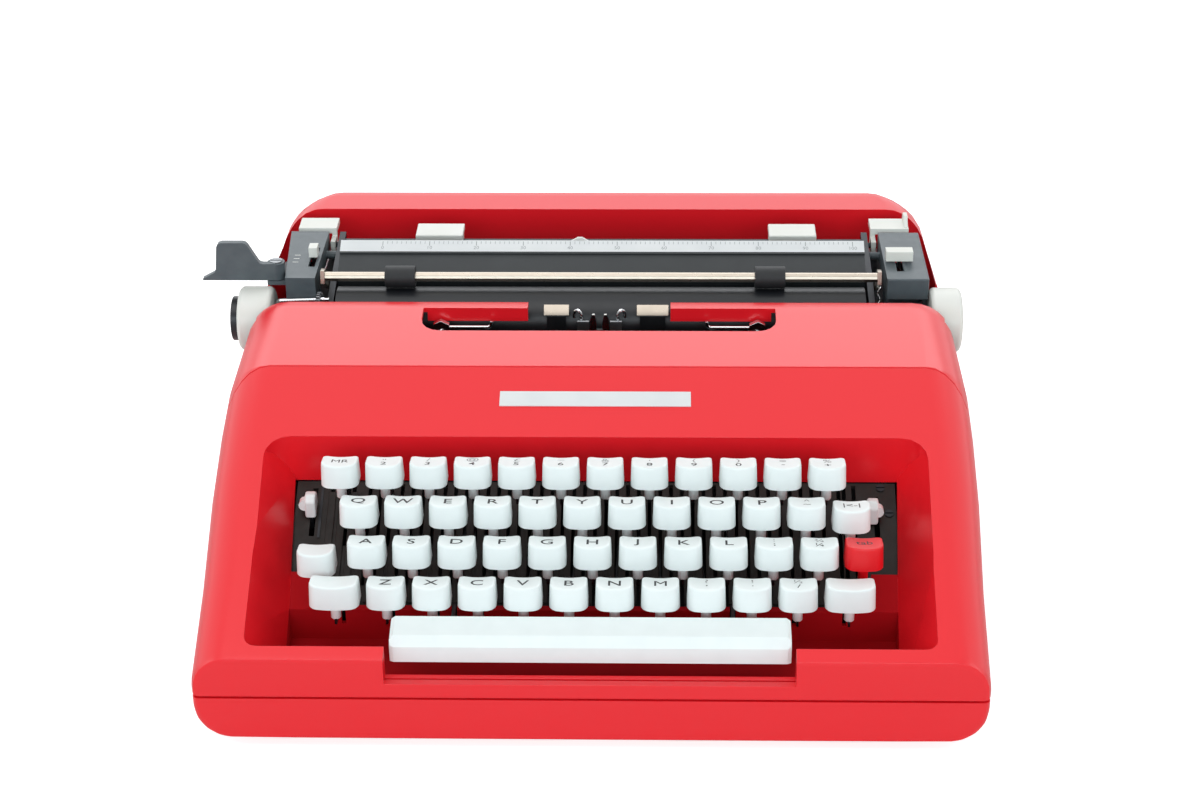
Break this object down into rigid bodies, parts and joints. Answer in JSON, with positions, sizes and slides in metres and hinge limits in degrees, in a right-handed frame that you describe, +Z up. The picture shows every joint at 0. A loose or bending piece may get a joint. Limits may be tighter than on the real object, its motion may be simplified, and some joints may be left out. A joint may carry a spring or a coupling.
{
  "type": "manual typewriter",
  "caption": "Portable manual typewriter: red rounded body, sunk keyboard with dished keys, lift-up ribbon cover and a sliding carriage with platen, knobs, bail and return lever.",
  "frame": {"origin": "middle of the whole object in plan, on the table plane under the feet", "axes": "+X to the typist's right, +Y away from the typist, +Z up"},
  "size_m": [0.3643, 0.338, 0.124],
  "materials": {
    "red_body": "glossy red, moulded",
    "white_key": "satin off-white moulding",
    "red_key": "satin red moulding",
    "dark_cover": "satin dark grey",
    "black_rubber": "smooth black rubber",
    "steel": "plain steel",
    "chrome": "polished",
    "black_steel": "blackened"
  },
  "bodies": {
    "machine": {"base_tray": "red_body", "top_housing": "red_body", "key_mask": "dark_cover", "chassis_frame": "steel"},
    "ribbon_cover": {"ribbon_cover": "red_body"},
    "type_basket": {"type_basket": "steel"},
    "typebar": {"typebar": "steel"},
    "ribbon_spool_left": {"ribbon_spool_left": "black_steel"},
    "ribbon_spool_right": {"ribbon_spool_right": "black_steel"},
    "carriage": {"carriage_frame": "steel", "end_cover_left": "dark_cover", "end_cover_right": "dark_cover", "paper_table": "dark_cover"},
    "platen": {"platen": "black_rubber", "platen_knob_left": "white_key", "platen_knob_right": "white_key"},
    "paper_bail": {"paper_bail": "chrome"},
    "bail_roller_left": {"bail_roller_left": "black_rubber"},
    "bail_roller_right": {"bail_roller_right": "black_rubber"},
    "return_lever": {"return_lever": "dark_cover"},
    "carriage_release_left": {"carriage_release_left": "white_key"},
    "carriage_release_right": {"carriage_release_right": "white_key"},
    "line_space_lever": {"line_space_lever": "white_key"},
    "paper_release_lever": {"paper_release_lever": "white_key"},
    "margin_stop_left": {"margin_stop_left": "white_key"},
    "margin_stop_right": {"margin_stop_right": "white_key"},
    "touch_lever": {"touch_lever": "white_key"},
    "ribbon_colour_lever": {"ribbon_colour_lever": "white_key"},
    "space_bar": {"space_bar": "white_key"},
    "figure_and_sign_keys": {"figure_and_sign_keys": "white_key"},
    "backspace_key": {"backspace_key": "white_key"},
    "tab_key": {"tab_key": "red_key"},
    "shift_lock_key": {"shift_lock_key": "white_key"},
    "shift_keys": {"shift_keys": "white_key"},
    "key_q": {"key_q": "white_key"},
    "key_w": {"key_w": "white_key"},
    "key_e": {"key_e": "white_key"},
    "key_r": {"key_r": "white_key"},
    "key_t": {"key_t": "white_key"},
    "key_y": {"key_y": "white_key"},
    "key_u": {"key_u": "white_key"},
    "key_i": {"key_i": "white_key"},
    "key_o": {"key_o": "white_key"},
    "key_p": {"key_p": "white_key"},
    "key_a": {"key_a": "white_key"},
    "key_s": {"key_s": "white_key"},
    "key_d": {"key_d": "white_key"},
    "key_f": {"key_f": "white_key"},
    "key_g": {"key_g": "white_key"},
    "key_h": {"key_h": "white_key"},
    "key_j": {"key_j": "white_key"},
    "key_k": {"key_k": "white_key"},
    "key_l": {"key_l": "white_key"},
    "key_z": {"key_z": "white_key"},
    "key_x": {"key_x": "white_key"},
    "key_c": {"key_c": "white_key"},
    "key_v": {"key_v": "white_key"},
    "key_b": {"key_b": "white_key"},
    "key_n": {"key_n": "white_key"},
    "key_m": {"key_m": "white_key"}
  },
  "joints": [
    {"name": "cover_hinge", "type": "hinge", "parent": "machine", "child": "ribbon_cover", "pos_m": [0.0092, -0.0155, 0.099], "axis": [1, 0, 0], "range_deg": [0, 75]},
    {"name": "carriage_slide", "type": "slide", "parent": "machine", "child": "carriage", "axis": [1, 0, 0], "range_m": [-0.105, 0.105]},
    {"name": "platen_spin", "type": "hinge", "parent": "carriage", "child": "platen", "pos_m": [0.0092, 0.056, 0.0875], "axis": [1, 0, 0], "continuous": true},
    {"name": "bail_lift", "type": "hinge", "parent": "carriage", "child": "paper_bail", "pos_m": [0.0092, 0.074, 0.0986], "axis": [-1, 0, 0], "range_deg": [0, 40]},
    {"name": "bail_roller_left_spin", "type": "hinge", "parent": "paper_bail", "child": "bail_roller_left", "pos_m": [-0.0866, 0.059, 0.10839], "axis": [1, 0, 0], "continuous": true},
    {"name": "bail_roller_right_spin", "type": "hinge", "parent": "paper_bail", "child": "bail_roller_right", "pos_m": [0.0902, 0.059, 0.10839], "axis": [1, 0, 0], "continuous": true},
    {"name": "return_lever_swing", "type": "hinge", "parent": "carriage", "child": "return_lever", "pos_m": [-0.1474, 0.067, 0.108], "axis": [0, 0, 1], "range_deg": [0, 30], "stiffness_Nm_per_rad": 0.05, "springref_deg": -17.19},
    {"name": "release_left_press", "type": "hinge", "parent": "carriage", "child": "carriage_release_left", "pos_m": [-0.1338, 0.111, 0.1017], "axis": [-1, 0, 0], "range_deg": [0, 8], "stiffness_Nm_per_rad": 0.3, "springref_deg": -5.73},
    {"name": "release_right_press", "type": "hinge", "parent": "carriage", "child": "carriage_release_right", "pos_m": [0.1522, 0.111, 0.1017], "axis": [-1, 0, 0], "range_deg": [0, 8], "stiffness_Nm_per_rad": 0.3, "springref_deg": -5.73},
    {"name": "line_space_select", "type": "hinge", "parent": "carriage", "child": "line_space_lever", "pos_m": [-0.1328, 0.082, 0.101], "axis": [1, 0, 0], "range_deg": [-12, 12]},
    {"name": "paper_release_swing", "type": "hinge", "parent": "carriage", "child": "paper_release_lever", "pos_m": [0.1534, 0.0785, 0.101], "axis": [1, 0, 0], "range_deg": [-12, 12]},
    {"name": "margin_stop_left_slide", "type": "slide", "parent": "carriage", "child": "margin_stop_left", "axis": [1, 0, 0], "range_m": [-0.03, 0.06]},
    {"name": "margin_stop_right_slide", "type": "slide", "parent": "carriage", "child": "margin_stop_right", "axis": [1, 0, 0], "range_m": [-0.06, 0.018]},
    {"name": "touch_lever_slide", "type": "slide", "parent": "machine", "child": "touch_lever", "axis": [0, 0.8887, 0.4585], "range_m": [-0.007, 0.007]},
    {"name": "ribbon_colour_slide", "type": "slide", "parent": "machine", "child": "ribbon_colour_lever", "axis": [0, 0.8887, 0.4585], "range_m": [-0.006, 0.006]},
    {"name": "ribbon_spool_left_spin", "type": "hinge", "parent": "machine", "child": "ribbon_spool_left", "pos_m": [-0.1058, 0.003, 0.08], "axis": [0, 0, 1], "continuous": true},
    {"name": "ribbon_spool_right_spin", "type": "hinge", "parent": "machine", "child": "ribbon_spool_right", "pos_m": [0.1242, 0.003, 0.08], "axis": [0, 0, 1], "continuous": true},
    {"name": "figure_and_sign_press", "type": "hinge", "parent": "machine", "child": "figure_and_sign_keys", "pos_m": [0.0092, 0.071, 0.0185], "axis": [1, 0, 0], "range_deg": [0, 2.79], "stiffness_Nm_per_rad": 4, "springref_deg": -2.86},
    {"name": "backspace_press", "type": "hinge", "parent": "machine", "child": "backspace_key", "pos_m": [0.0092, 0.071, 0.0185], "axis": [1, 0, 0], "range_deg": [0, 3.37], "stiffness_Nm_per_rad": 4, "springref_deg": -2.86},
    {"name": "tab_press", "type": "hinge", "parent": "machine", "child": "tab_key", "pos_m": [0.0092, 0.071, 0.0185], "axis": [1, 0, 0], "range_deg": [0, 3.05], "stiffness_Nm_per_rad": 4, "springref_deg": -2.86},
    {"name": "shift_lock_press", "type": "hinge", "parent": "machine", "child": "shift_lock_key", "pos_m": [0.0092, 0.071, 0.0185], "axis": [1, 0, 0], "range_deg": [0, 3.05], "stiffness_Nm_per_rad": 4, "springref_deg": -2.86},
    {"name": "shift_press", "type": "hinge", "parent": "machine", "child": "shift_keys", "pos_m": [0.0092, 0.071, 0.0185], "axis": [1, 0, 0], "range_deg": [0, 2.79], "stiffness_Nm_per_rad": 4, "springref_deg": -2.86},
    {"name": "space_bar_press", "type": "hinge", "parent": "machine", "child": "space_bar", "pos_m": [0.0092, 0.071, 0.0185], "axis": [1, 0, 0], "range_deg": [0, 1.8], "stiffness_Nm_per_rad": 8, "springref_deg": -2.86},
    {"name": "key_q_press", "type": "hinge", "parent": "machine", "child": "key_q", "pos_m": [0.0092, 0.071, 0.0185], "axis": [1, 0, 0], "range_deg": [0, 3.37], "stiffness_Nm_per_rad": 4, "springref_deg": -2.86},
    {"name": "key_w_press", "type": "hinge", "parent": "machine", "child": "key_w", "pos_m": [0.0092, 0.071, 0.0185], "axis": [1, 0, 0], "range_deg": [0, 3.37], "stiffness_Nm_per_rad": 4, "springref_deg": -2.86},
    {"name": "key_e_press", "type": "hinge", "parent": "machine", "child": "key_e", "pos_m": [0.0092, 0.071, 0.0185], "axis": [1, 0, 0], "range_deg": [0, 3.37], "stiffness_Nm_per_rad": 4, "springref_deg": -2.86},
    {"name": "key_r_press", "type": "hinge", "parent": "machine", "child": "key_r", "pos_m": [0.0092, 0.071, 0.0185], "axis": [1, 0, 0], "range_deg": [0, 3.37], "stiffness_Nm_per_rad": 4, "springref_deg": -2.86},
    {"name": "key_t_press", "type": "hinge", "parent": "machine", "child": "key_t", "pos_m": [0.0092, 0.071, 0.0185], "axis": [1, 0, 0], "range_deg": [0, 3.37], "stiffness_Nm_per_rad": 4, "springref_deg": -2.86},
    {"name": "key_y_press", "type": "hinge", "parent": "machine", "child": "key_y", "pos_m": [0.0092, 0.071, 0.0185], "axis": [1, 0, 0], "range_deg": [0, 3.37], "stiffness_Nm_per_rad": 4, "springref_deg": -2.86},
    {"name": "key_u_press", "type": "hinge", "parent": "machine", "child": "key_u", "pos_m": [0.0092, 0.071, 0.0185], "axis": [1, 0, 0], "range_deg": [0, 3.37], "stiffness_Nm_per_rad": 4, "springref_deg": -2.86},
    {"name": "key_i_press", "type": "hinge", "parent": "machine", "child": "key_i", "pos_m": [0.0092, 0.071, 0.0185], "axis": [1, 0, 0], "range_deg": [0, 3.37], "stiffness_Nm_per_rad": 4, "springref_deg": -2.86},
    {"name": "key_o_press", "type": "hinge", "parent": "machine", "child": "key_o", "pos_m": [0.0092, 0.071, 0.0185], "axis": [1, 0, 0], "range_deg": [0, 3.37], "stiffness_Nm_per_rad": 4, "springref_deg": -2.86},
    {"name": "key_p_press", "type": "hinge", "parent": "machine", "child": "key_p", "pos_m": [0.0092, 0.071, 0.0185], "axis": [1, 0, 0], "range_deg": [0, 3.37], "stiffness_Nm_per_rad": 4, "springref_deg": -2.86},
    {"name": "key_a_press", "type": "hinge", "parent": "machine", "child": "key_a", "pos_m": [0.0092, 0.071, 0.0185], "axis": [1, 0, 0], "range_deg": [0, 3.05], "stiffness_Nm_per_rad": 4, "springref_deg": -2.86},
    {"name": "key_s_press", "type": "hinge", "parent": "machine", "child": "key_s", "pos_m": [0.0092, 0.071, 0.0185], "axis": [1, 0, 0], "range_deg": [0, 3.05], "stiffness_Nm_per_rad": 4, "springref_deg": -2.86},
    {"name": "key_d_press", "type": "hinge", "parent": "machine", "child": "key_d", "pos_m": [0.0092, 0.071, 0.0185], "axis": [1, 0, 0], "range_deg": [0, 3.05], "stiffness_Nm_per_rad": 4, "springref_deg": -2.86},
    {"name": "key_f_press", "type": "hinge", "parent": "machine", "child": "key_f", "pos_m": [0.0092, 0.071, 0.0185], "axis": [1, 0, 0], "range_deg": [0, 3.05], "stiffness_Nm_per_rad": 4, "springref_deg": -2.86},
    {"name": "key_g_press", "type": "hinge", "parent": "machine", "child": "key_g", "pos_m": [0.0092, 0.071, 0.0185], "axis": [1, 0, 0], "range_deg": [0, 3.05], "stiffness_Nm_per_rad": 4, "springref_deg": -2.86},
    {"name": "key_h_press", "type": "hinge", "parent": "machine", "child": "key_h", "pos_m": [0.0092, 0.071, 0.0185], "axis": [1, 0, 0], "range_deg": [0, 3.05], "stiffness_Nm_per_rad": 4, "springref_deg": -2.86},
    {"name": "key_j_press", "type": "hinge", "parent": "machine", "child": "key_j", "pos_m": [0.0092, 0.071, 0.0185], "axis": [1, 0, 0], "range_deg": [0, 3.05], "stiffness_Nm_per_rad": 4, "springref_deg": -2.86},
    {"name": "key_k_press", "type": "hinge", "parent": "machine", "child": "key_k", "pos_m": [0.0092, 0.071, 0.0185], "axis": [1, 0, 0], "range_deg": [0, 3.05], "stiffness_Nm_per_rad": 4, "springref_deg": -2.86},
    {"name": "key_l_press", "type": "hinge", "parent": "machine", "child": "key_l", "pos_m": [0.0092, 0.071, 0.0185], "axis": [1, 0, 0], "range_deg": [0, 3.05], "stiffness_Nm_per_rad": 4, "springref_deg": -2.86},
    {"name": "key_z_press", "type": "hinge", "parent": "machine", "child": "key_z", "pos_m": [0.0092, 0.071, 0.0185], "axis": [1, 0, 0], "range_deg": [0, 2.79], "stiffness_Nm_per_rad": 4, "springref_deg": -2.86},
    {"name": "key_x_press", "type": "hinge", "parent": "machine", "child": "key_x", "pos_m": [0.0092, 0.071, 0.0185], "axis": [1, 0, 0], "range_deg": [0, 2.79], "stiffness_Nm_per_rad": 4, "springref_deg": -2.86},
    {"name": "key_c_press", "type": "hinge", "parent": "machine", "child": "key_c", "pos_m": [0.0092, 0.071, 0.0185], "axis": [1, 0, 0], "range_deg": [0, 2.79], "stiffness_Nm_per_rad": 4, "springref_deg": -2.86},
    {"name": "key_v_press", "type": "hinge", "parent": "machine", "child": "key_v", "pos_m": [0.0092, 0.071, 0.0185], "axis": [1, 0, 0], "range_deg": [0, 2.79], "stiffness_Nm_per_rad": 4, "springref_deg": -2.86},
    {"name": "key_b_press", "type": "hinge", "parent": "machine", "child": "key_b", "pos_m": [0.0092, 0.071, 0.0185], "axis": [1, 0, 0], "range_deg": [0, 2.79], "stiffness_Nm_per_rad": 4, "springref_deg": -2.86},
    {"name": "key_n_press", "type": "hinge", "parent": "machine", "child": "key_n", "pos_m": [0.0092, 0.071, 0.0185], "axis": [1, 0, 0], "range_deg": [0, 2.79], "stiffness_Nm_per_rad": 4, "springref_deg": -2.86},
    {"name": "key_m_press", "type": "hinge", "parent": "machine", "child": "key_m", "pos_m": [0.0092, 0.071, 0.0185], "axis": [1, 0, 0], "range_deg": [0, 2.79], "stiffness_Nm_per_rad": 4, "springref_deg": -2.86},
    {"name": "basket_shift", "type": "slide", "parent": "machine", "child": "type_basket", "axis": [0, 0, -1], "range_m": [0, 0.0066]},
    {"name": "typebar_strike", "type": "hinge", "parent": "type_basket", "child": "typebar", "pos_m": [0.0092, 0.033, 0.0375], "axis": [-1, 0, 0], "range_deg": [0, 90]}
  ],
  "couplings": [
    {"joint": "basket_shift", "follows": "shift_press", "m_per_rad": 0.13358},
    {"joint": "typebar_strike", "follows": "key_g_press", "ratio": 29.342},
    {"joint": "ribbon_spool_right_spin", "follows": "ribbon_spool_left_spin", "ratio": 1}
  ]
}
